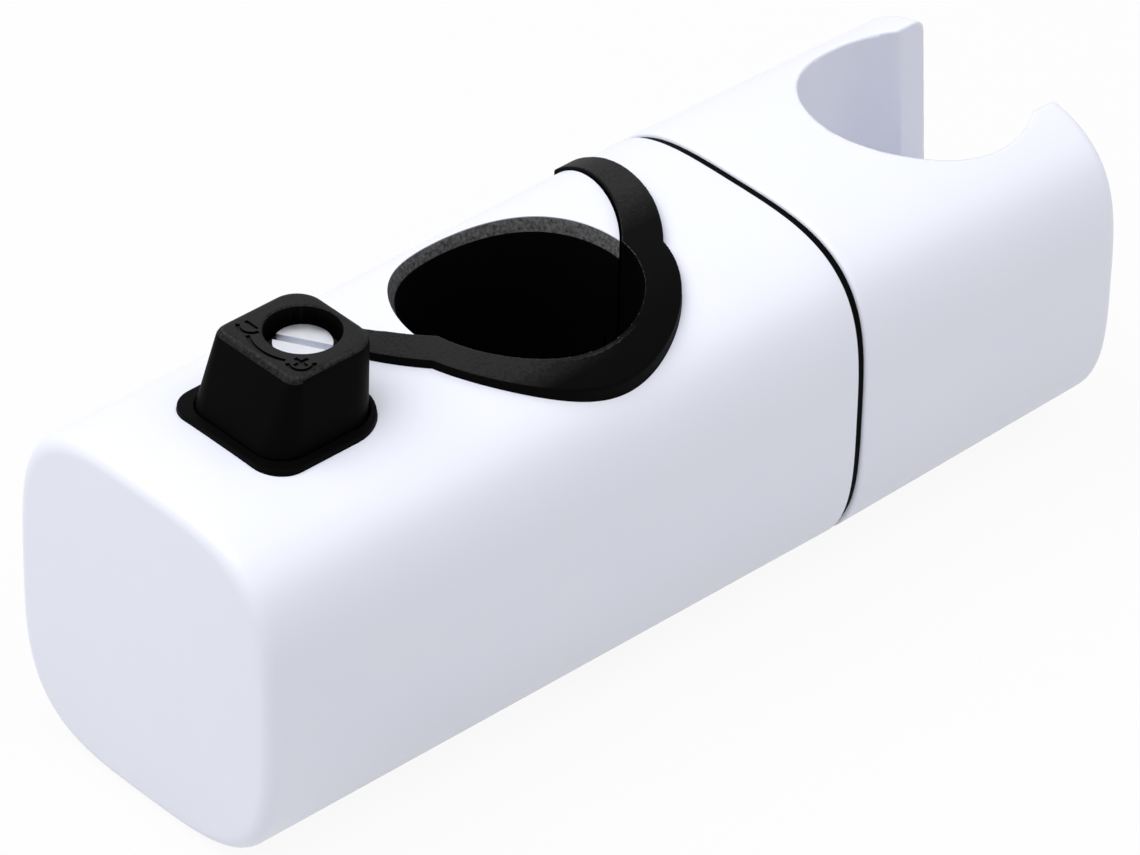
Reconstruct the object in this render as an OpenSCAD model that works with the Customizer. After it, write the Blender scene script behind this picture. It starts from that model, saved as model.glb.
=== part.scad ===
// Riser rail slider for a hand shower. A white body clamps on a 25 mm round rail, and a
// cradle for the handset's cone swivels on its right end. Pressing the button draws a brake
// shoe back from the rail, so that the slider can be moved up or down.
// The rail runs along Z through the origin. The body lies along X, with the button on top.

/* [Body] */
// Half width of the body across the rail, at its left end
end_half_w = 19.25; // [19:0.05:20]
// Half height of the body along the rail, at its left end
end_half_h = 19.85; // [19.5:0.05:20]
// Half width of the body at the seam
seam_half_w = 19.88; // [19.5:0.02:20]
// Half height of the body at the seam
seam_half_h = 19.75; // [19.5:0.05:20]
// Distance from the rail's axis to the left end
body_left = 50; // [48:0.5:54]
// Distance from the rail's axis to the seam
body_right = 29.3; // [29:0.1:30]
// How square the rounded section is, where 2 is an ellipse
section_power = 3.47; // [3:0.01:4]
// Rounding of the two end faces' edges
end_round = 1; // [0.5:0.1:1.5]

/* [Rail clamp] */
// Radius of the bore that holds the rail
bore_r = 12.6; // [12.5:0.05:12.7]
// Outer radius of the liner's tube
tube_r = 14.4; // [14.2:0.1:14.8]
// Outer radius of the liner's raised flange
flange_r = 16.3; // [16:0.1:16.6]
// How far the flange stands proud of the body
flange_h = 1; // [0.6:0.1:1.2]
// Width of the brake shoe's nose, which lies in front of the gate
shoe_nose_w = 7.3; // [6:0.1:7.5]
// Half height of the brake shoe
shoe_half_h = 5.8; // [5:0.1:6]
// Thickness of the rubber pad on the shoe
pad_t = 1; // [0.8:0.1:1.2]

/* [Button] */
// Distance from the rail's axis to the middle of the button's base
button_x = 31.3; // [31.2:0.1:31.4]
// Width of the button's square base
button_w = 14.3; // [14:0.1:14.4]
// Height of the button's top face above the rail bore's middle
button_top = 28.5; // [27.5:0.1:29]
// Distance from the rail's axis to the adjusting screw
tension_x = 28.9; // [28.8:0.1:29]
// How far the button travels
press = 3; // [2:0.5:3]
// How far the shoe draws back at full press
retract = 1.2; // [0.8:0.1:1.2]

/* [Cradle] */
// Distance from the rail's axis to the cradle's end face
cradle_right = 67.4; // [67:0.1:69]
// Distance from the rail's axis to the middle of the slot
slot_x = 56.2; // [56:0.1:57]
// Radius of the tapered slot at its top
slot_top_r = 12.5; // [12:0.1:12.6]
// Radius of the tapered slot at its bottom
slot_bottom_r = 10.9; // [10.5:0.1:11.2]
// Half width of the slot's mouth at its top
mouth_top = 10.2; // [9:0.1:10.4]
// Half width of the slot's mouth at its bottom
mouth_bottom = 7.2; // [7:0.1:8]

/* [Hidden] */
$fn = 64;
slice_t = 0.05;
section_points = 88;
tall = 60;
// The white field between the liner's arms: two arcs that open out to the back
field_arc_r = 35.1;
field_arc = [13.9, 22.2];
// The arms' outer edges
arm_arc_r = 27.3;
arm_arc = [4.2, 14.3];
arm_front = -4.2;
arm_back = 17;
field_front = 0.5;
gate_gap = 0.25;
seat_gap = 0.05;
flange_sink = 0.75;
gate_liner_t = 0.7;
glue_gap = 0.02;
// The shoe and its window through the liner
nose_back = 0.3;
nose_front = nose_back - shoe_nose_w;
window_gap = 0.3;
shoe_back = 24.2;
shoe_shoulder = 20;
fork_y = [6.3, 7.7];
fork_left = 37;
fork_top = 1.5;
pin_r = 1.5;
pin_x = -34.6;
pin_z = -2;
slot_r = 1.6;
slot_half_w = 1.57;
// The button's well in the body and its lip, with the corner radii at the left and at the right
bezel_x = [-39.85, -23.5];
bezel_half_y = 8.5;
bezel_r = [3.4, 5.6];
bezel_seat_z = 17.2;
bezel_h = 0.5;
well_gap = 0.4;
well_floor = -12.5;
well_round_z = 12;
button_r = [3.3, 4.4];
button_base_z = 20.3;
button_skirt_z = 10;
skirt_inset = 0.05;
button_top_x = [-35.2, -23.9];
button_top_half_y = 6.1;
button_top_r = [1.2, 3];
stem_y = [4.6, 6];
stem_x = [-38.4, -27.5];
stem_bottom = -5;
// The adjusting screw and its square nut
head_hole_r = 4;
head_floor_z = 25.5;
head_r = 3;
head_top_z = 26.9;
collar_r = 3.6;
collar_top_z = 22.42;
collar_h = 1.5;
shank_r = 2;
shank_end_z = 8.5;
pocket_half = 3.7;
seat_half = 3.6;
seat_z = 10.5;
seat_h = 3;
drive_angle = -60;
spring_coil_r = 2.75;
spring_wire_r = 0.45;
spring_turns = 7;
spring_steps = 14;
spring_sides = 6;
// The end carrier and the cradle's pivot
carrier_half_w = 17.2;
carrier_half_h = 17.1;
carrier_left = 24.8;
carrier_gap = 0.1;
ring_right = 30.2;
ring_inset = 0.35;
cradle_left = 30.25;
hub_r = 8;
hub_right = 37;
hub_gap = 0.05;
web = [37.3, 39.3];
pivot_r = 2;
nut_r = 4;
nut_t = 3.2;
washer_t = 0.8;
disc_t = 1;
pivot_head_r = 4.2;
pivot_head_h = 2.2;
counterbore_r = 5;
screw_y = -3;
screw_z = 13.5;
screw_r = 1.25;
screw_head_r = 2.6;
screw_head_h = 2;
screw_tip = 19.8;
cradle_half_w = 19.97;
cradle_half_h = 18.62;

function rounded_section(half_w, half_h) = [
    for (i = [0 : section_points - 1])
        let (a = (i + 0.5) * 360 / section_points, p = 2 / section_power)
            [half_w * sign(cos(a)) * pow(abs(cos(a)), p), half_h * sign(sin(a)) * pow(abs(sin(a)), p)]
];

// A length of the body's section, from x to x + t
module section_bar(x, t, half_w, half_h) {
    translate([x, 0, 0]) rotate([90, 0, 90]) linear_extrude(t) polygon(rounded_section(half_w, half_h));
}

// The body's outer form up to the seam, grown by g all round
module body_block(g) {
    hull() {
        section_bar(-body_left, slice_t, end_half_w - end_round + g, end_half_h - end_round + g);
        section_bar(-body_left + end_round, slice_t, end_half_w + g, end_half_h + g);
        section_bar(body_right - slice_t, slice_t, seam_half_w + g, seam_half_h + g);
    }
}

module round_bar_x(x, t, r) {
    translate([x, 0, 0]) rotate([0, 90, 0]) cylinder(h = t, r = r);
}

module upright(r, z0, z1) {
    translate([0, 0, z0]) cylinder(h = z1 - z0, r = r);
}

module box(x, y, z) {
    translate([x[0], y[0], z[0]]) cube([x[1] - x[0], y[1] - y[0], z[1] - z[0]]);
}

// A flat slab with round corners, of radius r[0] at the left and r[1] at the right
module rounded_slab(x, half_y, r, z) {
    centre_x = [x[0] + r[0], x[1] - r[1]];
    box(centre_x, [-half_y, half_y], z);
    box([x[0], centre_x[0] + 1], [-half_y + r[0], half_y - r[0]], z);
    box([centre_x[1] - 1, x[1]], [-half_y + r[1], half_y - r[1]], z);
    for (end = [0, 1], side = [-1, 1])
        translate([centre_x[end], side * (half_y - r[end]), 0]) upright(r[end], z[0], z[1]);
}

// The plan between the two arc edges, behind the line y = front
module between_arcs(centre, r, front) {
    intersection() {
        translate([-centre[0], centre[1], 0]) upright(r, -tall / 2, tall / 2);
        translate([centre[0], centre[1], 0]) upright(r, -tall / 2, tall / 2);
        box([-tall / 2, tall / 2], [front, tall / 2], [-tall / 2, tall / 2]);
    }
}

module liner_plan(g) {
    upright(tube_r + g, -tall / 2, tall / 2);
    between_arcs(arm_arc, arm_arc_r + g, arm_front - g);
}

module flange_plan(g) {
    intersection() {
        upright(flange_r + g, 0, tall / 2);
        box([-tall / 2, tall / 2], [-tall / 2, arm_front], [0, tall / 2]);
    }
}

// The shoe's way from the button's well to the rail
module shoe_way() {
    shoulder_y = fork_y[1] + window_gap;
    way_z = shoe_half_h + 0.4;
    box([-shoe_back - 0.3, -shoe_shoulder + 0.5], [-shoulder_y, shoulder_y], [-way_z, way_z]);
    box([-shoe_shoulder - 0.1, -bore_r / 2], [nose_front - window_gap, nose_back + window_gap],
        [-way_z, way_z]);
}

module button_well() {
    x = [bezel_x[0] + well_gap, bezel_x[1] - well_gap];
    half_y = bezel_half_y - well_gap;
    box(x, [-half_y, half_y], [well_floor, well_round_z]);
    rounded_slab(x, half_y, bezel_r - [well_gap, well_gap], [well_round_z - 0.1, tall / 2]);
}

module carrier_holes(r, x0, x1) {
    for (z = [-screw_z, screw_z]) translate([0, screw_y, z]) round_bar_x(x0, x1 - x0, r);
}

module body_shell() {
    color("white") difference() {
        body_block(0);
        liner_plan(seat_gap);
        difference() {
            flange_plan(seat_gap);
            body_block(-flange_sink - seat_gap);
        }
        difference() {
            button_well();
            translate([-tension_x, 0, 0]) upright(shank_r, well_floor - 1, well_floor + 4);
        }
        rounded_slab(bezel_x + [-seat_gap, seat_gap], bezel_half_y + seat_gap, bezel_r,
            [bezel_seat_z, tall / 2]);
        shoe_way();
        section_bar(carrier_left - seat_gap, 10, carrier_half_w + carrier_gap, carrier_half_h + carrier_gap);
        carrier_holes(screw_r + 0.02, screw_tip - 0.5, body_right);
    }
}

module rail_liner() {
    color([0.1, 0.1, 0.1]) difference() {
        union() {
            intersection() {
                body_block(-0.02);
                liner_plan(0);
            }
            intersection() {
                difference() {
                    body_block(flange_h);
                    body_block(-flange_sink);
                }
                union() {
                    flange_plan(0);
                    between_arcs(arm_arc, arm_arc_r, arm_front - seat_gap);
                }
                box([-tall / 2, tall / 2], [-tall / 2, arm_back], [0, tall / 2]);
            }
        }
        upright(bore_r, -tall / 2, tall / 2);
        between_arcs(field_arc, field_arc_r, field_front);
        shoe_way();
    }
}

module gate_wedge() {
    intersection() {
        body_block(0);
        between_arcs(field_arc, field_arc_r - gate_gap, field_front + 0.3);
    }
}

module rear_gate() {
    color("white") difference() {
        gate_wedge();
        upright(bore_r + gate_liner_t + glue_gap, -tall / 2, tall / 2);
    }
}

module gate_liner() {
    color([0.1, 0.1, 0.1]) difference() {
        intersection() {
            gate_wedge();
            upright(bore_r + gate_liner_t, -tall / 2, tall / 2);
        }
        upright(bore_r, -tall / 2, tall / 2);
    }
}

module hex_x(x, t, r) {
    translate([x, 0, 0]) rotate([0, 90, 0]) cylinder(h = t, r = r, $fn = 6);
}

module end_carrier() {
    color("lightgrey") difference() {
        union() {
            section_bar(carrier_left, body_right - carrier_left, carrier_half_w, carrier_half_h);
            round_bar_x(body_right - 0.1, hub_right - body_right + 0.1, hub_r);
        }
        round_bar_x(carrier_left - 1, 20, pivot_r + 0.03);
        hex_x(carrier_left - 1, nut_t + 1, nut_r + 0.05);
        carrier_holes(screw_r + 0.1, carrier_left - 1, body_right);
        carrier_holes(screw_head_r + 0.1, body_right - screw_head_h, body_right + 1);
    }
}

module carrier_screws() {
    color("silver") difference() {
        union() {
            carrier_holes(screw_r, screw_tip, body_right - screw_head_h + 0.1);
            carrier_holes(screw_head_r, body_right - screw_head_h, body_right - 0.1);
        }
        for (z = [-screw_z, screw_z])
            translate([0, screw_y, z])
                for (turn = [0, 90]) rotate([turn, 0, 0])
                    box([body_right - 1.2, body_right], [-1.6, 1.6], [-0.35, 0.35]);
    }
}

module seam_ring() {
    color([0.1, 0.1, 0.1]) difference() {
        section_bar(body_right, ring_right - body_right, seam_half_w - ring_inset, seam_half_h - ring_inset);
        round_bar_x(body_right - 1, 3, hub_r + hub_gap);
    }
}

module pivot_nut() {
    color("silver") difference() {
        hex_x(carrier_left, nut_t, nut_r);
        round_bar_x(carrier_left - 1, nut_t + 2, pivot_r + 0.02);
    }
}

module pivot_screw() {
    head_x = web[1] + washer_t + disc_t;
    color("silver") difference() {
        union() {
            round_bar_x(carrier_left, head_x + 0.1 - carrier_left, pivot_r);
            round_bar_x(head_x, pivot_head_h, pivot_head_r);
        }
        for (turn = [0, 90]) rotate([turn, 0, 0])
            box([head_x + 0.9, head_x + pivot_head_h + 1], [-2.4, 2.4], [-0.5, 0.5]);
    }
}

module pivot_washer() {
    color("silver") difference() {
        round_bar_x(web[1], washer_t, pivot_head_r + 0.4);
        round_bar_x(web[1] - 1, washer_t + 2, pivot_r + 0.1);
    }
}

// A conical disc spring, which keeps the cradle's pivot stiff
module pivot_spring() {
    inner = pivot_r + 0.15;
    outer = pivot_head_r;
    leaf_t = 0.5;
    color("silver") translate([web[1] + washer_t, 0, 0]) rotate([0, 90, 0]) rotate_extrude()
        polygon([[inner, disc_t - leaf_t], [outer, 0], [outer, leaf_t], [inner, disc_t]]);
}

module cradle() {
    color("white") difference() {
        hull() {
            section_bar(cradle_left, slice_t, seam_half_w, seam_half_h);
            section_bar(cradle_right - end_round, slice_t, cradle_half_w, cradle_half_h);
            section_bar(cradle_right - slice_t, slice_t, cradle_half_w - end_round, cradle_half_h - end_round);
        }
        translate([slot_x, 0, -seam_half_h - 1])
            cylinder(h = 2 * seam_half_h + 2, r1 = slot_bottom_r, r2 = slot_top_r);
        translate([slot_x, 0, 0]) rotate([90, 0, 90]) linear_extrude(tall / 2) polygon([
            [-mouth_bottom, -seam_half_h - 1], [mouth_bottom, -seam_half_h - 1],
            [mouth_top, seam_half_h + 1], [-mouth_top, seam_half_h + 1]
        ]);
        round_bar_x(cradle_left - 1, web[0] - cradle_left + 1, hub_r + hub_gap);
        round_bar_x(web[0] - 1, 5, pivot_r + 0.06);
        round_bar_x(web[1], slot_x - web[1], counterbore_r);
    }
}

module button_bezel() {
    gap = 0.15;
    opening = button_w / 2 + gap;
    color([0.1, 0.1, 0.1]) difference() {
        intersection() {
            body_block(bezel_h);
            rounded_slab(bezel_x, bezel_half_y, bezel_r, [bezel_seat_z, tall / 2]);
        }
        rounded_slab([-button_x - opening, -button_x + opening], opening, button_r + [gap, gap],
            [0, tall / 2]);
    }
}

// The button: a leaning frustum on a square skirt, with two slotted stem plates below
module release_button() {
    half = button_w / 2;
    base_x = [-button_x - half, -button_x + half];
    color([0.1, 0.1, 0.1]) difference() {
        union() {
            hull() {
                rounded_slab(base_x, half, button_r, [button_base_z, button_base_z + 0.1], $fn = 32);
                rounded_slab(button_top_x, button_top_half_y, button_top_r,
                    [button_top - 0.1, button_top], $fn = 32);
            }
            rounded_slab([base_x[0] + skirt_inset, base_x[1] - skirt_inset], half - skirt_inset, button_r,
                [button_skirt_z, button_base_z + 0.05]);
            for (side = [0, 1]) mirror([0, side, 0])
                box(stem_x, stem_y, [stem_bottom, button_skirt_z + 2]);
        }
        translate([-tension_x, 0, 0]) {
            upright(head_hole_r, head_floor_z, tall / 2);
            upright(head_r + 0.05, collar_top_z, tall / 2);
            box([-pocket_half, pocket_half], [-pocket_half, pocket_half],
                [stem_bottom, collar_top_z + 0.03]);
        }
        pin_slot();
    }
}

// The slanted slot, which turns the button's travel into the shoe's
module pin_slot() {
    slot_len = norm([retract, press]);
    slot_turn = atan2(retract, press);
    translate([pin_x, -10, pin_z]) {
        for (end = [[0, 0], [-retract, press]])
            translate([end[0], 0, end[1]]) rotate([-90, 0, 0]) cylinder(h = 20, r = slot_r);
        rotate([0, -slot_turn, 0]) translate([-slot_half_w, 0, 0]) cube([2 * slot_half_w, 20, slot_len]);
    }
}

module tension_screw() {
    color("silver") translate([-tension_x, 0, 0]) difference() {
        union() {
            upright(head_r, collar_top_z - 0.1, head_top_z);
            upright(collar_r, collar_top_z - collar_h, collar_top_z);
            upright(shank_r, shank_end_z, collar_top_z - collar_h + 0.1);
        }
        rotate([0, 0, drive_angle]) box([-5, 5], [-0.5, 0.5], [head_top_z - 1.1, head_top_z + 1]);
    }
}

module spring_seat() {
    color("silver") translate([-tension_x, 0, 0]) difference() {
        box([-seat_half, seat_half], [-seat_half, seat_half], [seat_z, seat_z + seat_h]);
        upright(shank_r + 0.03, seat_z - 1, seat_z + seat_h + 1);
    }
}

// Centre of the wire at step i, and one point of the ring round it
function wire_ring(i) = let (
    a = i * 360 / spring_steps,
    low = well_floor + spring_wire_r,
    z = low + (seat_z - well_floor - 2 * spring_wire_r) * i / (spring_turns * spring_steps)
) [
    for (k = [0 : spring_sides - 1])
        let (b = k * 360 / spring_sides, r = spring_coil_r + spring_wire_r * cos(b))
            [r * cos(a), r * sin(a), z + spring_wire_r * sin(b)]
];

module button_spring() {
    n = spring_turns * spring_steps;
    s = spring_sides;
    points = [for (i = [0 : n]) each wire_ring(i)];
    sides = [
        for (i = [0 : n - 1], k = [0 : s - 1])
            [i * s + k, i * s + (k + 1) % s, (i + 1) * s + (k + 1) % s, (i + 1) * s + k]
    ];
    first = [for (k = [s - 1 : -1 : 0]) k];
    last = [for (k = [0 : s - 1]) n * s + k];
    color("silver") translate([-tension_x, 0, 0]) polyhedron(points, concat(sides, [first, last]));
}

module brake_shoe() {
    color("dimgrey") difference() {
        union() {
            box([-shoe_back, -shoe_shoulder], [-fork_y[1], fork_y[1]], [-shoe_half_h, shoe_half_h]);
            box([-shoe_shoulder - 0.1, -bore_r + 2], [nose_front, nose_back],
                [-shoe_half_h, shoe_half_h]);
            for (side = [0, 1]) mirror([0, side, 0])
                box([-fork_left, -shoe_back + 0.1], fork_y, [-shoe_half_h, fork_top]);
        }
        upright(bore_r + pad_t, -tall / 2, tall / 2);
        translate([pin_x, -10, pin_z]) rotate([-90, 0, 0]) cylinder(h = 20, r = pin_r);
    }
}

module brake_pad() {
    color([0.2, 0.2, 0.2]) difference() {
        intersection() {
            upright(bore_r + pad_t, -shoe_half_h, shoe_half_h);
            box([-tall / 2, 0], [nose_front, nose_back], [-tall / 2, tall / 2]);
        }
        upright(bore_r, -tall / 2, tall / 2);
    }
}

module shoe_pin() {
    color("silver") translate([pin_x, -fork_y[1], pin_z]) rotate([-90, 0, 0])
        cylinder(h = 2 * fork_y[1], r = pin_r);
}

body_shell();
rail_liner();
rear_gate();
gate_liner();
end_carrier();
carrier_screws();
seam_ring();
pivot_nut();
pivot_screw();
pivot_washer();
pivot_spring();
cradle();
button_bezel();
release_button();
tension_screw();
spring_seat();
button_spring();
brake_shoe();
brake_pad();
shoe_pin();
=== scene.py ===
# A white riser rail slider for a hand shower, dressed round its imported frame.
# The sections follow the slider as it is put together, from the body to the button.
import math

import bpy
from mathutils import Matrix, Vector


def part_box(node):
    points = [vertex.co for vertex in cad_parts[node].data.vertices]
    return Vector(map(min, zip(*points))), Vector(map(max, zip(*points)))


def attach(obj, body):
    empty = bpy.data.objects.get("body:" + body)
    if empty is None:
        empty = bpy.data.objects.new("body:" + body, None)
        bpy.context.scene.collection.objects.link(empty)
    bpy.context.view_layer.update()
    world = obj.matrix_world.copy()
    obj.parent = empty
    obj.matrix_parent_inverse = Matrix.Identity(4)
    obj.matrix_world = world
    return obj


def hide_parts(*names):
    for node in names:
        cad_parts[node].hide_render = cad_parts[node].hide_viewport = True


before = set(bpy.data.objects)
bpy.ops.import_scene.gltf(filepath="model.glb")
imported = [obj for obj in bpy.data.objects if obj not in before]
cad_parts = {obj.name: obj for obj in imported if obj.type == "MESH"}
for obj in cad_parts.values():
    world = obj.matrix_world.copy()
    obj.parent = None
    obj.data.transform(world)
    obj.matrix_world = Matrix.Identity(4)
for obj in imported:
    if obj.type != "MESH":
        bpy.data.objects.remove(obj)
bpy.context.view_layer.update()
bpy.ops.object.select_all(action="DESELECT")

# The camera stands above and to the left of the slider, as the photograph's did.
# It is far off with a long lens, so the slider shows with little perspective.
eye = Vector((-0.42254, -0.45158, 0.46118))
eye_azimuth = math.radians(-43.598)
eye_elevation = math.radians(36.561)
eye_roll = math.radians(1.458)
eye_back = Vector((
    math.sin(eye_azimuth) * math.cos(eye_elevation),
    -math.cos(eye_azimuth) * math.cos(eye_elevation),
    math.sin(eye_elevation),
))
camera = bpy.data.objects.new("camera", bpy.data.cameras.new("camera"))
bpy.context.collection.objects.link(camera)
camera.data.sensor_width = 36
camera.data.lens = 238.8
camera.data.clip_start = 0.05
camera.location = eye
camera.rotation_mode = "QUATERNION"
roll_turn = Matrix.Rotation(eye_roll, 3, "Z").to_quaternion()
camera.rotation_quaternion = eye_back.to_track_quat("Z", "Y") @ roll_turn
bpy.context.scene.camera = camera
bpy.context.scene.view_settings.view_transform = "Standard"


# The body is one white ABS moulding. Its section is a rounded square that widens
# a little towards the seam, and its left end is closed with a soft edge.
class Sock:
    """One socket of a shader. An expression on it adds the Math nodes that work it out."""

    def __init__(self, tree, socket):
        self.tree = tree
        self.socket = socket

    def node(self, kind, settings=None, **values):
        made = self.tree.nodes.new(kind)
        for name, value in (settings or {}).items():
            setattr(made, name, value)
        for name, value in values.items():
            key = int(name[1:]) if name[1:].isdigit() else name.replace("_", " ")
            link(self.tree, made.inputs[key], value)
        return made

    def maths(self, operation, *terms):
        made = self.node("ShaderNodeMath", {"operation": operation})
        for slot, term in zip(made.inputs, terms):
            link(self.tree, slot, term)
        return Sock(self.tree, made.outputs[0])

    def __add__(self, other):
        return self.maths("ADD", self, other)

    def __mul__(self, other):
        return self.maths("MULTIPLY", self, other)

    def __sub__(self, other):
        return self.maths("SUBTRACT", self, other)

    def __rsub__(self, other):
        return self.maths("SUBTRACT", other, self)

    __radd__ = __add__
    __rmul__ = __mul__


def link(tree, target, value):
    if isinstance(value, Sock):
        tree.links.new(value.socket, target)
    else:
        target.default_value = value


def new_finish(name, roughness, metallic=0.0, specular=0.5):
    """A Principled material, with its tree and its Object coordinates."""
    finish = bpy.data.materials.new(name)
    finish.use_nodes = True
    tree = finish.node_tree
    shader = tree.nodes["Principled BSDF"]
    shader.inputs["Metallic"].default_value = metallic
    shader.inputs["Roughness"].default_value = roughness
    shader.inputs["Specular IOR Level"].default_value = specular
    place = Sock(tree, tree.nodes.new("ShaderNodeTexCoord").outputs["Object"])
    return finish, tree, shader, place


def noise(place, scale, detail=2.0, rough=0.5):
    made = place.node("ShaderNodeTexNoise", Vector=place, Scale=scale, Detail=detail, Roughness=rough)
    return Sock(place.tree, made.outputs["Fac"])


def mix_colour(place, factor, first, second):
    made = place.node("ShaderNodeMix", {"data_type": "RGBA"})
    link(place.tree, made.inputs[0], factor)
    link(place.tree, made.inputs[6], first)
    link(place.tree, made.inputs[7], second)
    return Sock(place.tree, made.outputs[2])


def bump(place, shader, height, distance, strength=1.0):
    made = place.node("ShaderNodeBump", Height=height, Distance=distance, Strength=strength)
    place.tree.links.new(made.outputs["Normal"], shader.inputs["Normal"])


def white_abs():
    finish, tree, shader, place = new_finish("white_abs", 0.36, specular=0.45)
    cloud = noise(place, 60, 3)
    speck = noise(place, 1900, 2)
    colour = mix_colour(place, cloud, (0.79, 0.807, 0.915, 1), (0.82, 0.835, 0.935, 1))
    link(tree, shader.inputs["Base Color"], colour)
    link(tree, shader.inputs["Roughness"], 0.31 + cloud * 0.06 + speck * 0.04)
    bump(place, shader, speck, 0.00002, 0.25)
    return finish


white_finish = white_abs()
section_power = 2 / 3.47
section_points = 160
body_left = -0.050
body_right = 0.0293
end_half = (0.01925, 0.01985)
seam_half = (0.01988, 0.01975)
end_edge = 0.0016
seam_edge = 0.0003


def rounded_bar(name, stations):
    """A closed bar along X through rounded sections, each an x, a half width and a half height."""
    bpy.ops.object.select_all(action="DESELECT")
    bpy.ops.mesh.primitive_circle_add(vertices=section_points, radius=0.02, fill_type="NGON")
    bar = bpy.context.object
    bar.name = name
    x, half_w, half_h = stations[0]
    for vertex in bar.data.vertices:
        turn = 2 * math.pi * (vertex.index + 0.5) / section_points
        across = math.copysign(abs(math.cos(turn)) ** section_power, math.cos(turn))
        up = math.copysign(abs(math.sin(turn)) ** section_power, math.sin(turn))
        vertex.co = (x, half_w * across, half_h * up)
    bpy.ops.object.mode_set(mode="EDIT")
    bpy.ops.mesh.select_all(action="SELECT")
    for next_x, next_w, next_h in stations[1:]:
        bpy.ops.mesh.extrude_region_move(TRANSFORM_OT_translate={"value": (next_x - x, 0, 0)})
        bpy.ops.transform.resize(
            value=(1, next_w / half_w, next_h / half_h), center_override=(next_x, 0, 0)
        )
        x, half_w, half_h = next_x, next_w, next_h
    bpy.ops.mesh.select_all(action="SELECT")
    bpy.ops.mesh.normals_make_consistent(inside=False)
    bpy.ops.object.mode_set(mode="OBJECT")
    return bar


def body_half(x, grow=0.0):
    """The body's half width and half height at x."""
    part = (x - body_left) / (body_right - body_left)
    return tuple(a + (b - a) * part + grow for a, b in zip(end_half, seam_half))


def body_top(x, y):
    """The height of the body's top at a point of its plan."""
    half_w, half_h = body_half(x)
    power = 2 / section_power
    return half_h * (1 - (abs(y) / half_w) ** power) ** (1 / power)


def body_stations(edge, grow=0.0, right_edge=seam_edge, step=0.0025):
    """Sections from the left end to the seam, with both end edges rounded."""
    made = []
    for i in range(9):
        turn = math.radians(90 * i / 8)
        inset = edge * (1 - math.sin(turn))
        x = body_left - grow + edge * (1 - math.cos(turn))
        made.append((x, *body_half(x, grow - inset)))
    count = round((body_right - body_left) / step)
    for i in range(1, count):
        x = made[8][0] + (body_right - right_edge - made[8][0]) * i / count
        made.append((x, *body_half(x, grow)))
    for i in range(5):
        turn = math.radians(90 * i / 4)
        inset = right_edge * (1 - math.cos(turn))
        x = body_right - right_edge + right_edge * math.sin(turn)
        made.append((x, *body_half(x, grow - inset)))
    return made


def apply_all(piece):
    bpy.ops.object.select_all(action="DESELECT")
    piece.select_set(True)
    bpy.context.view_layer.objects.active = piece
    for modifier in list(piece.modifiers):
        bpy.ops.object.modifier_apply(modifier=modifier.name)


def combine(piece, tool, operation):
    """Cuts, joins or clips the piece with a tool solid, which is used up."""
    modifier = piece.modifiers.new("cut", "BOOLEAN")
    modifier.operation = operation
    modifier.solver = "EXACT"
    modifier.object = tool
    apply_all(piece)
    bpy.data.objects.remove(tool)
    return piece


def post(radius, low, high, x=0.0, y=0.0, sides=192, top_radius=None):
    """An upright round solid, straight or tapered."""
    bpy.ops.object.select_all(action="DESELECT")
    bpy.ops.mesh.primitive_cone_add(
        vertices=sides, radius1=radius, radius2=radius if top_radius is None else top_radius,
        depth=high - low, location=(x, y, (low + high) / 2)
    )
    bpy.ops.object.transform_apply(location=True, rotation=True, scale=True)
    return bpy.context.object


def block(x, y, z):
    """A square solid between two limits on each axis."""
    bpy.ops.object.select_all(action="DESELECT")
    bpy.ops.mesh.primitive_cube_add(size=1, location=[(a[0] + a[1]) / 2 for a in (x, y, z)])
    bpy.context.object.scale = [a[1] - a[0] for a in (x, y, z)]
    bpy.ops.object.transform_apply(location=True, rotation=True, scale=True)
    return bpy.context.object


tall = 0.03
outside = 0.03
fit_gap = 0.00005
arm_arc = (0.0042, 0.0143)
arm_arc_r = 0.0273
arm_front = -0.0042
tube_r = 0.0144


def between_arcs(centre, radius, front):
    """The upright solid between two facing arcs, behind the line y = front."""
    wedge = post(radius, -tall, tall, -centre[0], centre[1])
    combine(wedge, post(radius, -tall * 1.1, tall * 1.1, centre[0], centre[1]), "INTERSECT")
    return combine(wedge, block((-0.04, 0.04), (front, 0.06), (-0.04, 0.04)), "INTERSECT")


def smooth(piece, angle=32):
    bpy.ops.object.select_all(action="DESELECT")
    piece.select_set(True)
    bpy.context.view_layer.objects.active = piece
    bpy.ops.object.shade_smooth_by_angle(angle=math.radians(angle))


def dress(piece, finish, body, slot, *nodes):
    """Gives a finished piece its material and its place in the frame."""
    piece.data.materials.clear()
    piece.data.materials.append(finish)
    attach(piece, body)
    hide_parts(*nodes)


corner_points = 12


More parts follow.
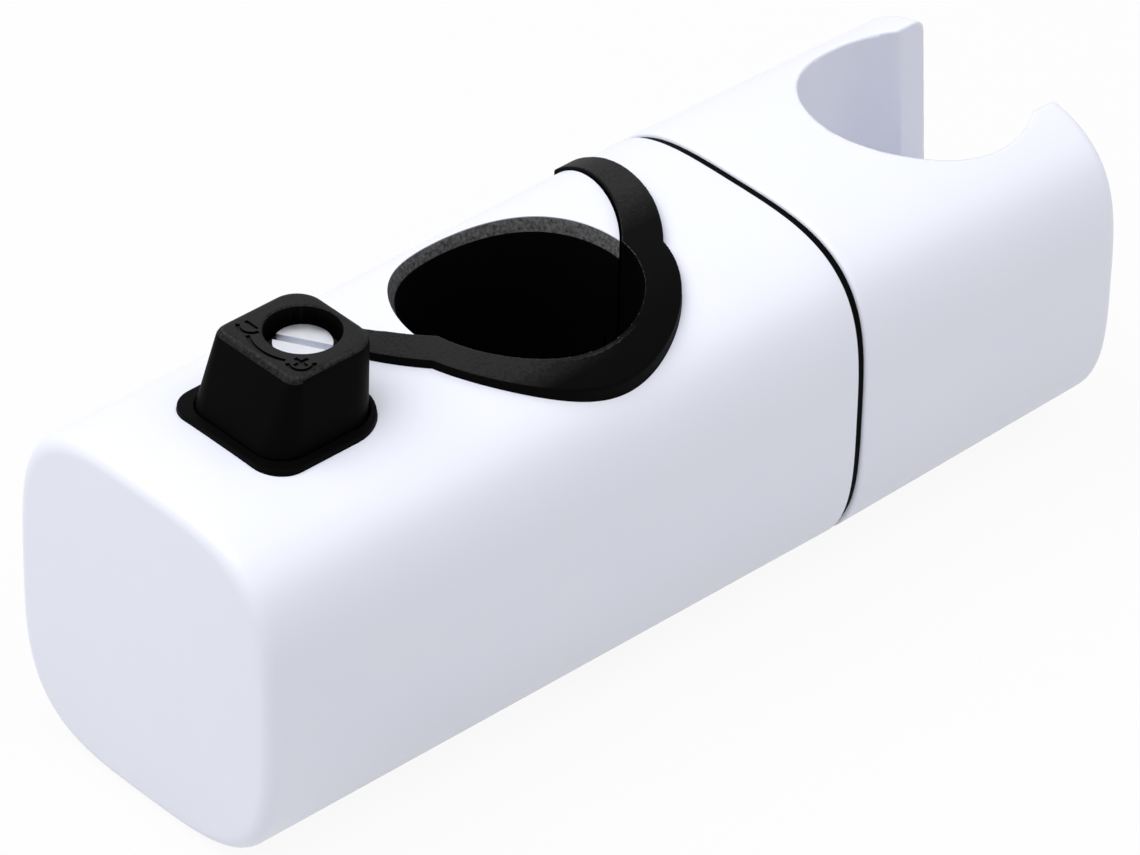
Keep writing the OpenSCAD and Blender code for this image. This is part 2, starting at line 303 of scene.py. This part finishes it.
def rounded_stack(name, levels):
    """A closed solid through level outlines, each a height and a rectangle with round corners.

    The corner radii are given for the left and the right.
    """
    bpy.ops.object.select_all(action="DESELECT")
    bpy.ops.mesh.primitive_circle_add(vertices=4 * corner_points, radius=1, fill_type="NGON")
    stack = bpy.context.object
    stack.name = name
    bpy.ops.object.mode_set(mode="EDIT")
    bpy.ops.mesh.select_all(action="SELECT")
    for level in levels[1:]:
        bpy.ops.mesh.extrude_region_move(TRANSFORM_OT_translate={"value": (0, 0, 1)})
    bpy.ops.mesh.select_all(action="SELECT")
    bpy.ops.mesh.normals_make_consistent(inside=False)
    bpy.ops.object.mode_set(mode="OBJECT")
    for vertex in stack.data.vertices:
        z, x, half_y, radii = levels[round(vertex.co.z)]
        turn = math.degrees(math.atan2(vertex.co.y, vertex.co.x)) % 360
        step = int(turn / 90 * corner_points + 0.5) % (4 * corner_points)
        corner, part = divmod(step, corner_points)
        on_left = corner in (1, 2)
        radius = radii[0] if on_left else radii[1]
        centre_x = x[0] + radius if on_left else x[1] - radius
        centre_y = half_y - radius if corner < 2 else radius - half_y
        turn = math.radians(90 * (corner + part / (corner_points - 1)))
        vertex.co = (centre_x + radius * math.cos(turn), centre_y + radius * math.sin(turn), z)
    return stack


def lying(tool, x):
    """Turns an upright tool to lie along X, with its foot at x."""
    tool.data.transform(Matrix.Translation((x, 0, 0)) @ Matrix.Rotation(math.pi / 2, 4, "Y"))
    return tool


lip_x = (-0.03985, -0.0235)
lip_half_y = 0.0085
lip_radii = (0.0034, 0.0056)
lip_seat_z = 0.0172
well_x = (-0.03945, -0.0239)
well_half_y = 0.0081
well_radii = (0.0030, 0.0052)
well_floor = -0.0125
tension_x = -0.0289
spring_post_r = 0.002
spring_post_h = 0.004
shoe_room = ((-0.0245, -0.0195), (-0.0080, 0.0080), (-0.0062, 0.0062))
nose_room = ((-0.0201, -0.0063), (-0.0073, 0.0006), (-0.0062, 0.0062))
carrier_room_x = (0.02475, 0.035)
carrier_room_half = (0.0173, 0.0172)
carrier_screw_r = 0.00127
carrier_screw_at = (0.0193, -0.003, 0.0135)


def cut_shoe_way(piece):
    """Opens the way for the shoe and its nose, from the well to the bore."""
    for room in (shoe_room, nose_room):
        combine(piece, block(*room), "DIFFERENCE")


shell = rounded_bar("shell", body_stations(end_edge))
combine(shell, between_arcs(arm_arc, arm_arc_r + fit_gap, arm_front - 0.0001), "DIFFERENCE")
combine(shell, post(tube_r + fit_gap, -tall * 0.9, tall * 0.9), "DIFFERENCE")
flange_r = 0.0163
flange_seat_t = 0.0008
flange_seat = post(flange_r + fit_gap, 0, tall * 0.8)
front_half = block((-outside, outside), (-outside, arm_front), (-outside, 0.04))
combine(flange_seat, front_half, "INTERSECT")
combine(flange_seat, rounded_bar("core", body_stations(end_edge, -flange_seat_t)), "DIFFERENCE")
combine(shell, flange_seat, "DIFFERENCE")
lip_seat = rounded_stack("lip_seat", [(z, lip_x, lip_half_y, lip_radii) for z in (lip_seat_z, 0.03)])
combine(shell, lip_seat, "DIFFERENCE")
well = rounded_stack("well", [(z, well_x, well_half_y, well_radii) for z in (well_floor, 0.031)])
spring_post = post(spring_post_r, well_floor - 0.001, well_floor + spring_post_h, tension_x)
combine(well, spring_post, "DIFFERENCE")
combine(shell, well, "DIFFERENCE")
cut_shoe_way(shell)
carrier_room = rounded_bar("carrier_room", [(x, *carrier_room_half) for x in carrier_room_x])
combine(shell, carrier_room, "DIFFERENCE")
for side in (-1, 1):
    hole = lying(post(carrier_screw_r, 0, 0.01, sides=48), carrier_screw_at[0])
    hole.data.transform(Matrix.Translation((0, carrier_screw_at[1], side * carrier_screw_at[2])))
    combine(shell, hole, "DIFFERENCE")
smooth(shell)
dress(shell, white_finish, "main", "white_plastic", "body_shell")

# The liner is a black horseshoe pressed into the body from above. A crescent flange
# goes round the front of the bore, and its two arms run out to the back.
def black_plastic():
    finish, tree, shader, place = new_finish("black_plastic", 0.5, specular=0.02)
    grain = noise(place, 2600, 3, 0.6)
    cloud = noise(place, 140, 3)
    painted_top_mask, painted_rim_mask = (
        Sock(tree, place.node("ShaderNodeAttribute", {"attribute_name": name}).outputs["Fac"])
        for name in ("grain_and_painted_light", "painted_highlight")
    )
    # Faces marked as tops are painted lighter, as if lit from above, with the grain running through
    # that painted light; the rest keeps the dark colour.
    top = mix_colour(place, painted_top_mask * (cloud * 0.6 + grain * 2.4 - 0.5),
                     (0.0016, 0.0016, 0.0017, 1), (0.0215, 0.0215, 0.022, 1))
    # Faces marked for it get a painted highlight, a light grey streaked by the grain.
    colour = mix_colour(place, painted_rim_mask * (grain * 3.2 - 0.7), top, (0.16, 0.16, 0.165, 1))
    link(tree, shader.inputs["Base Color"], colour)
    link(tree, shader.inputs["Roughness"], 0.34 + cloud * 0.14 + grain * 0.1)
    bump(place, shader, grain, 0.00004, 0.5)
    return finish


def ramp(value, low, high):
    return min(max((value - low) / (high - low), 0), 1)


def mark_faces(piece, grain_and_painted_light, painted_highlight):
    """Stores on each face how much grain and painted top light, and how much painted highlight, the
    black plastic gets there.
    """
    for name, rule in (("grain_and_painted_light", grain_and_painted_light), ("painted_highlight", painted_highlight)):
        marks = piece.data.attributes.new(name, "FLOAT", "FACE")
        for face in piece.data.polygons:
            marks.data[face.index].value = rule(face.center, face.normal)


black_finish = black_plastic()
bore_r = 0.0126
flange_h = 0.001
field_arc = (0.0055, 0.0170)
field_arc_r = 0.0259
field_front = 0.0005
field_tip = -0.0017
arm_back = 0.017
arm_sink = 0.00095
arm_sink_y = (0.002, 0.0145)
nose_clear_z = 0.0075


def field(radius, gap):
    """The gate's plan between the arms. Its tips reach further forward above and below the nose."""
    plan = between_arcs(field_arc, radius, field_tip + gap)
    beside_nose = block((-0.04, 0.04), (-0.01, field_front + gap), (-nose_clear_z, nose_clear_z))
    return combine(plan, beside_nose, "DIFFERENCE")


def mould(piece, depth, softening, triangles):
    """Rounds every edge of a moulded piece a little, by remeshing, easing and thinning it."""
    remesh = piece.modifiers.new("remesh", "REMESH")
    remesh.mode = "SHARP"
    remesh.octree_depth = depth
    remesh.scale = 0.99
    remesh.use_remove_disconnected = False
    ease = piece.modifiers.new("ease", "SMOOTH")
    ease.factor = 0.5
    ease.iterations = softening
    apply_all(piece)
    count = sum(len(face.vertices) - 2 for face in piece.data.polygons)
    if count > triangles:
        thin = piece.modifiers.new("thin", "DECIMATE")
        thin.ratio = triangles / count
        apply_all(piece)
    smooth(piece, 180)


liner = rounded_bar("liner", body_stations(end_edge, -0.00002))
plan = between_arcs(arm_arc, arm_arc_r, arm_front)
combine(plan, post(tube_r, -tall * 0.9, tall * 0.9), "UNION")
combine(liner, plan, "INTERSECT")
cap = rounded_bar("cap", body_stations(end_edge, flange_h))
cap_plan = post(flange_r, 0.001, tall * 0.9)
front_half = block((-outside, outside), (-outside, arm_front + 0.0004), (-outside, 0.04))
combine(cap_plan, front_half, "INTERSECT")
combine(cap_plan, between_arcs(arm_arc, arm_arc_r - 0.00001, arm_front), "UNION")
combine(cap_plan, block((-0.031, 0.031), (-0.031, arm_back), (0.008, 0.041)), "INTERSECT")
combine(cap, cap_plan, "INTERSECT")
combine(cap, rounded_bar("core", body_stations(end_edge, -0.00075)), "DIFFERENCE")
# The arms sink towards the back, where they stand only a little proud of the body.
for vertex in cap.data.vertices:
    if vertex.co.z > body_top(vertex.co.x, vertex.co.y) + flange_h / 2:
        vertex.co.z -= arm_sink * ramp(vertex.co.y, *arm_sink_y)
combine(liner, cap, "UNION")
combine(liner, post(bore_r, -tall * 1.1, tall * 1.1), "DIFFERENCE")
combine(liner, field(field_arc_r, 0), "DIFFERENCE")
cut_shoe_way(liner)
mould(liner, 8, 4, 190000)


def liner_painted_top(at, normal):
    """The top's grain and painted light, as lit from above; both fade out round the front and the
    right of the crescent, where the top is left dark as shaded.
    """
    back = ramp(at.y, -0.001, 0.006)
    left = ramp(-at.x, -0.002, 0.005) * ramp(at.y, -0.014, -0.0105)
    return ramp(normal.z, 0.6, 0.8) * max(back, left)


def liner_painted_rim(at, normal):
    """The bore's top rim, painted lighter as a highlight."""
    on_rim = at.z > 0.012 and math.hypot(at.x, at.y) < bore_r + 0.0005
    return 0.5 * on_rim * ramp(normal.z, 0.1, 0.4) * ramp(-normal.z, -0.96, -0.85)


mark_faces(liner, liner_painted_top, liner_painted_rim)
dress(liner, black_finish, "main", "black_plastic", "rail_liner")

# The gate is the white wedge that closes the back of the bore. It is moulded like the
# body and goes in from behind, with a black half ring that completes the bore.
gate_gap = 0.00025
gate_front_gap = 0.0003
ring_t = 0.0007
rim_drop = 0.0015
gate = rounded_bar("gate", body_stations(end_edge))
combine(gate, field(field_arc_r - gate_gap, gate_front_gap), "INTERSECT")
ring = rounded_bar("ring", body_stations(end_edge, -0.0001))
combine(ring, field(field_arc_r - gate_gap, gate_front_gap), "INTERSECT")
combine(ring, post(bore_r + ring_t, -tall * 1.1, tall * 1.1), "INTERSECT")
combine(gate, post(bore_r + ring_t, -tall * 1.1, tall * 1.1), "DIFFERENCE")
combine(ring, post(bore_r, -tall * 1.2, tall * 1.2), "DIFFERENCE")
# The ring's top edge slopes down to the bore, so that the rail is led in.
rim_clear = 0.0006
rim_cut = post(bore_r, 0, 0.01, top_radius=bore_r + ring_t * (1 + rim_clear / rim_drop))
for vertex in rim_cut.data.vertices:
    above = rim_clear if vertex.co.z > 0.005 else -rim_drop
    vertex.co.z = body_top(vertex.co.x, vertex.co.y) + above
combine(ring, rim_cut, "DIFFERENCE")
for piece in (gate, ring):
    smooth(piece)
# The ring's upward faces get grain and painted top light, and its sloping rim a painted highlight as a
# lit band.
mark_faces(
    ring,
    lambda at, normal: float(normal.z > 0.1),
    lambda at, normal: 0.6 * (0.1 < normal.z < 0.7),
)
dress(gate, white_finish, "gate", "white_plastic", "rear_gate")
dress(ring, black_finish, "gate", "black_plastic", "gate_liner")

# The cradle is the white end that swivels. Its tapered slot opens to the right,
# and the handset's cone drops in from above.
slot_x = 0.0562
slot_bottom_r = 0.0109
slot_top_r = 0.0125
cradle_left = 0.03025
cradle_right = 0.0674
cradle_half = (0.01997, 0.01862)
mouth_bottom = 0.0072
mouth_top = 0.0102
cradle_edge = 0.0014
hub_end = 0.0373
hub_bore_r = 0.00805
pivot_bore_r = 0.00206
access_r = 0.005


def cradle_stations(step=0.002):
    made = []
    span = cradle_right - cradle_edge - cradle_left

    def half(x, inset):
        part = min((x - cradle_left) / span, 1)
        return tuple(a + (b - a) * part - inset for a, b in zip(seam_half, cradle_half))

    for i in range(5):
        turn = math.radians(90 * i / 4)
        x = cradle_left + seam_edge * (1 - math.cos(turn))
        made.append((x, *half(x, seam_edge * (1 - math.sin(turn)))))
    count = round(span / step)
    for i in range(1, count):
        x = cradle_left + seam_edge + (span - seam_edge) * i / count
        made.append((x, *half(x, 0)))
    for i in range(9):
        turn = math.radians(90 * i / 8)
        x = cradle_right - cradle_edge + cradle_edge * math.sin(turn)
        made.append((x, *half(x, cradle_edge * (1 - math.cos(turn)))))
    return made


cradle = rounded_bar("cradle_end", cradle_stations())
cut_h = seam_half[1] + 0.001
combine(cradle, post(slot_bottom_r, -cut_h, cut_h, slot_x, top_radius=slot_top_r), "DIFFERENCE")
mouth = block((slot_x, slot_x + 0.03), (-mouth_bottom, mouth_bottom), (-cut_h, cut_h))
for vertex in mouth.data.vertices:
    if vertex.co.z > 0:
        vertex.co.y *= mouth_top / mouth_bottom
combine(cradle, mouth, "DIFFERENCE")
combine(cradle, lying(post(hub_bore_r, -0.008, 0.0, sides=96), hub_end), "DIFFERENCE")
combine(cradle, lying(post(pivot_bore_r, -0.001, 0.003, sides=64), hub_end), "DIFFERENCE")
combine(cradle, lying(post(access_r, 0, 0.0169, sides=96), 0.0393), "DIFFERENCE")
mould(cradle, 7, 2, 190000)
dress(cradle, white_finish, "cradle", "white_plastic", "cradle")

# The lip is a thin black frame that snaps into the body's top round the button.
# It stands a little proud and follows the body's curve.
button_x = (-0.03845, -0.02415)
button_half_y = 0.00715
button_radii = (0.0033, 0.0044)
lip_gap = 0.00015
lip_h = 0.0005
lip = rounded_bar("lip", body_stations(end_edge, lip_h))
frame_x = (lip_x[0] + fit_gap, lip_x[1] - fit_gap)
frame_levels = [(z, frame_x, lip_half_y - fit_gap, lip_radii) for z in (lip_seat_z, 0.032)]
combine(lip, rounded_stack("lip_outside", frame_levels), "INTERSECT")
hole_x = (button_x[0] - lip_gap, button_x[1] + lip_gap)
hole_radii = [radius + lip_gap for radius in button_radii]
hole_levels = [(z, hole_x, button_half_y + lip_gap, hole_radii) for z in (0.01, 0.033)]
combine(lip, rounded_stack("lip_hole", hole_levels), "DIFFERENCE")
mould(lip, 7, 2, 120000)
dress(lip, black_finish, "main", "black_plastic", "button_bezel")

# The button leans back from its lip on a square skirt. Its two stem plates reach down and
# their slanted slots draw the shoe back. A minus and a plus stand by the screw's hole.
button_base_z = 0.0203
button_top_z = 0.0285
button_top_x = (-0.0352, -0.0239)
button_top_half_y = 0.0061
button_top_radii = (0.0012, 0.003)
button_edge = 0.0009
plate_x = (-0.0384, -0.0275)
plate_y = (0.0046, 0.006)
plate_z = (-0.005, 0.012)
head_r = 0.004
head_seat_z = 0.0255
head_mouth_r = (0.0036, 0.0045)
collar_r = 0.00305
collar_top = 0.02242
pocket_half = 0.0037
pocket_z = (-0.006, 0.02245)
pin_x = -0.0346
pin_z = -0.002
pin_slot_half = 0.00157
pin_hole_r = 0.0016
press = 0.003
retract = 0.0012


def button_level(z, inset):
    """The button's outline between its base and its top, drawn in by the inset."""
    part = (z - button_base_z) / (button_top_z - button_base_z)
    x = [a + (b - a) * part for a, b in zip(button_x, button_top_x)]
    half_y = button_half_y + (button_top_half_y - button_half_y) * part
    radii = [a + (b - a) * part - inset * 0.5 for a, b in zip(button_radii, button_top_radii)]
    return (z, (x[0] + inset, x[1] - inset), half_y - inset, radii)


skirt = 0.00005
skirt_x = (button_x[0] + skirt, button_x[1] - skirt)
levels = [(z, skirt_x, button_half_y - skirt, button_radii) for z in (0.010, button_base_z - skirt)]
levels.append(button_level(button_base_z, 0))
for i in range(7):
    turn = math.radians(90 * i / 6)
    height = button_top_z - button_edge * (1 - math.sin(turn))
    levels.append(button_level(height, button_edge * (1 - math.cos(turn))))
button = rounded_stack("button", levels)
for side in (-1, 1):
    plate_side = sorted((side * plate_y[0], side * plate_y[1]))
    combine(button, block(plate_x, plate_side, plate_z), "UNION")
combine(button, post(head_r, head_seat_z, 0.04, tension_x), "DIFFERENCE")
head_mouth = post(head_mouth_r[0], 0.02805, 0.02875, tension_x, top_radius=head_mouth_r[1])
combine(button, head_mouth, "DIFFERENCE")
combine(button, post(collar_r, collar_top - 0.001, 0.041, tension_x), "DIFFERENCE")
pocket_x = (tension_x - pocket_half, tension_x + pocket_half)
combine(button, block(pocket_x, (-pocket_half, pocket_half), pocket_z), "DIFFERENCE")
slot = block((-pin_slot_half, pin_slot_half), (-0.02, 0.02), (0, math.hypot(press, retract)))
slot.data.transform(
    Matrix.Translation((pin_x, 0, pin_z)) @ Matrix.Rotation(-math.atan2(retract, press), 4, "Y")
)
combine(button, slot, "DIFFERENCE")
for end in ((pin_x, pin_z), (pin_x - retract, pin_z + press)):
    hole = post(pin_hole_r, -0.021, 0.021, sides=64)
    hole.data.transform(Matrix.Translation((end[0], 0, end[1])) @ Matrix.Rotation(math.pi / 2, 4, "X"))
    combine(button, hole, "DIFFERENCE")
groove_w = 0.00045
groove_z = button_top_z - 0.0003
minus_x, minus_y = -0.03225, 0.0038
plus_x, plus_y = -0.03265, -0.00405
sign_half = 0.0009
sign_arc_r = 0.00135
turn_arc_r = 0.0055


def arc_groove(x, y, radius, first, last):
    """A tool for a groove that runs round a centre, between two angles in degrees."""
    bpy.ops.object.select_all(action="DESELECT")
    bpy.ops.mesh.primitive_plane_add(size=1)
    tool = bpy.context.object
    turn = math.radians(first)
    place = Matrix.Translation((x, y, groove_z + 0.0005)) @ Matrix.Rotation(turn, 4, "Z")
    stand = Matrix.Translation((radius, 0, 0)) @ Matrix.Rotation(math.pi / 2, 4, "X")
    tool.data.transform(place @ stand @ Matrix.Diagonal((groove_w, 0.001, 1, 1)))
    bpy.ops.object.mode_set(mode="EDIT")
    bpy.ops.mesh.select_all(action="SELECT")
    bpy.ops.mesh.spin(
        steps=max(6, round((last - first) / 6)), angle=math.radians(first - last),
        center=(x, y, 0), axis=(0, 0, 1)
    )
    bpy.ops.mesh.select_all(action="SELECT")
    bpy.ops.mesh.normals_make_consistent(inside=False)
    bpy.ops.object.mode_set(mode="OBJECT")
    return tool


sign_z = (groove_z, groove_z + 0.0011)
long_y = (minus_y - sign_half, minus_y + sign_half)
combine(button, block((minus_x - groove_w / 2, minus_x + groove_w / 2), long_y, sign_z), "DIFFERENCE")
for turned in (False, True):
    half = (sign_half, groove_w / 2) if turned else (groove_w / 2, sign_half)
    bar_x = (plus_x - half[0], plus_x + half[0])
    bar_z = (groove_z - 0.00002 * turned, groove_z + 0.0012)
    combine(button, block(bar_x, (plus_y - half[1], plus_y + half[1]), bar_z), "DIFFERENCE")
combine(button, arc_groove(tension_x, 0, turn_arc_r, 150, 211), "DIFFERENCE")
combine(button, arc_groove(minus_x, minus_y, sign_arc_r, 130, 262), "DIFFERENCE")
combine(button, arc_groove(plus_x, plus_y, sign_arc_r, 145, 315), "DIFFERENCE")
smooth(button)
# The button's top gets grain and painted top light, and a faint painted highlight along its top edges.
mark_faces(
    button,
    lambda at, normal: 1.3 * ramp(normal.z, 0.75, 0.98),
    lambda at, normal: 0.1 * (at.z > button_top_z - 0.0006 and 0.5 < normal.z < 0.9),
)
dress(button, black_finish, "button", "black_plastic", "release_button")


# The screws, nuts, washer and springs are plain bright steel, turned or stamped.
def bright_steel():
    finish, tree, shader, place = new_finish("bright_steel", 0.3, metallic=1.0)
    brush = noise(place, 900, 4)
    colour = mix_colour(place, brush, (0.72, 0.735, 0.79, 1), (0.82, 0.835, 0.89, 1))
    link(tree, shader.inputs["Base Color"], colour)
    link(tree, shader.inputs["Roughness"], 0.24 + brush * 0.16)
    bump(place, shader, brush, 0.00001, 0.3)
    return finish


def grey_nylon():
    finish, tree, shader, place = new_finish("grey_nylon", 0.55)
    cloud = noise(place, 400, 3)
    colour = mix_colour(place, cloud, (0.10, 0.10, 0.105, 1), (0.13, 0.13, 0.135, 1))
    link(tree, shader.inputs["Base Color"], colour)
    link(tree, shader.inputs["Roughness"], 0.5 + cloud * 0.12)
    return finish


def black_rubber():
    finish, tree, shader, place = new_finish("black_rubber", 0.75, specular=0.3)
    grain = noise(place, 1500, 3)
    colour = mix_colour(place, grain, (0.012, 0.012, 0.012, 1), (0.02, 0.02, 0.02, 1))
    link(tree, shader.inputs["Base Color"], colour)
    bump(place, shader, grain, 0.00003, 0.4)
    return finish


steel_finish = bright_steel()
nylon_finish = grey_nylon()
inner_finishes = {
    "carrier_screws": steel_finish, "pivot_nut": steel_finish, "pivot_screw": steel_finish,
    "pivot_washer": steel_finish, "pivot_spring": steel_finish, "tension_screw": steel_finish,
    "spring_seat": steel_finish, "button_spring": steel_finish, "shoe_pin": steel_finish,
    "end_carrier": nylon_finish, "brake_shoe": nylon_finish,
    "brake_pad": black_rubber(), "seam_ring": black_finish,
}
for node, finish in inner_finishes.items():
    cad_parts[node].data.materials.clear()
    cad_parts[node].data.materials.append(finish)


# The slider lies on a white sheet under soft studio light. The sheet shows white
# to the camera, and keeps the slider's soft shadow.
def seen_rays(tree):
    """One for the rays that show the background: to the camera, by a mirror or through glass."""
    path = tree.nodes.new("ShaderNodeLightPath")
    names = ("Is Camera Ray", "Is Glossy Ray", "Is Transmission Ray")
    camera_ray, glossy_ray, glass_ray = (Sock(tree, path.outputs[name]) for name in names)
    return camera_ray.maths("MINIMUM", camera_ray + glossy_ray + glass_ray, 1.0)


sheet_glow = 0.92


def white_sheet():
    sheet = bpy.data.materials.new("white_sheet")
    sheet.use_nodes = True
    tree = sheet.node_tree
    tree.nodes.clear()
    paths = seen_rays(tree)
    matt = paths.node("ShaderNodeBsdfDiffuse", Color=(0.72, 0.72, 0.72, 1))
    glow = paths.node("ShaderNodeEmission", Color=(1, 1, 1, 1), Strength=1.0)
    blend = paths.node("ShaderNodeMixShader", i0=paths * sheet_glow)
    tree.links.new(matt.outputs[0], blend.inputs[1])
    tree.links.new(glow.outputs[0], blend.inputs[2])
    out = tree.nodes.new("ShaderNodeOutputMaterial")
    tree.links.new(blend.outputs[0], out.inputs["Surface"])
    return sheet


floor_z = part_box("body_shell")[0].z
bpy.ops.object.select_all(action="DESELECT")
bpy.ops.mesh.primitive_plane_add(size=6, location=(0, 0, floor_z))
floor = bpy.context.object
floor.name = "floor"
floor.data.materials.append(white_sheet())

daylight = 0.42
world = bpy.data.worlds.new("studio")
bpy.context.scene.world = world
world.use_nodes = True
world_tree = world.node_tree
sky = world_tree.nodes["Background"]
sky.inputs["Color"].default_value = (1, 1, 1, 1)
link(world_tree, sky.inputs["Strength"], daylight + seen_rays(world_tree) * (1 - daylight))


def soft_lamp(name, spot, power):
    """A round soft lamp that is aimed at the bore."""
    lamp = bpy.data.lights.new(name, "AREA")
    lamp.shape = "DISK"
    lamp.size = 1.2
    lamp.energy = power
    holder = bpy.data.objects.new(name, lamp)
    bpy.context.collection.objects.link(holder)
    holder.location = spot
    holder.rotation_euler = (-Vector(spot)).to_track_quat("-Z", "Y").to_euler()


soft_lamp("key", (-0.42, 0.25, 0.98), 10.6)
soft_lamp("fill", (0.37, -0.55, 0.87), 3.4)
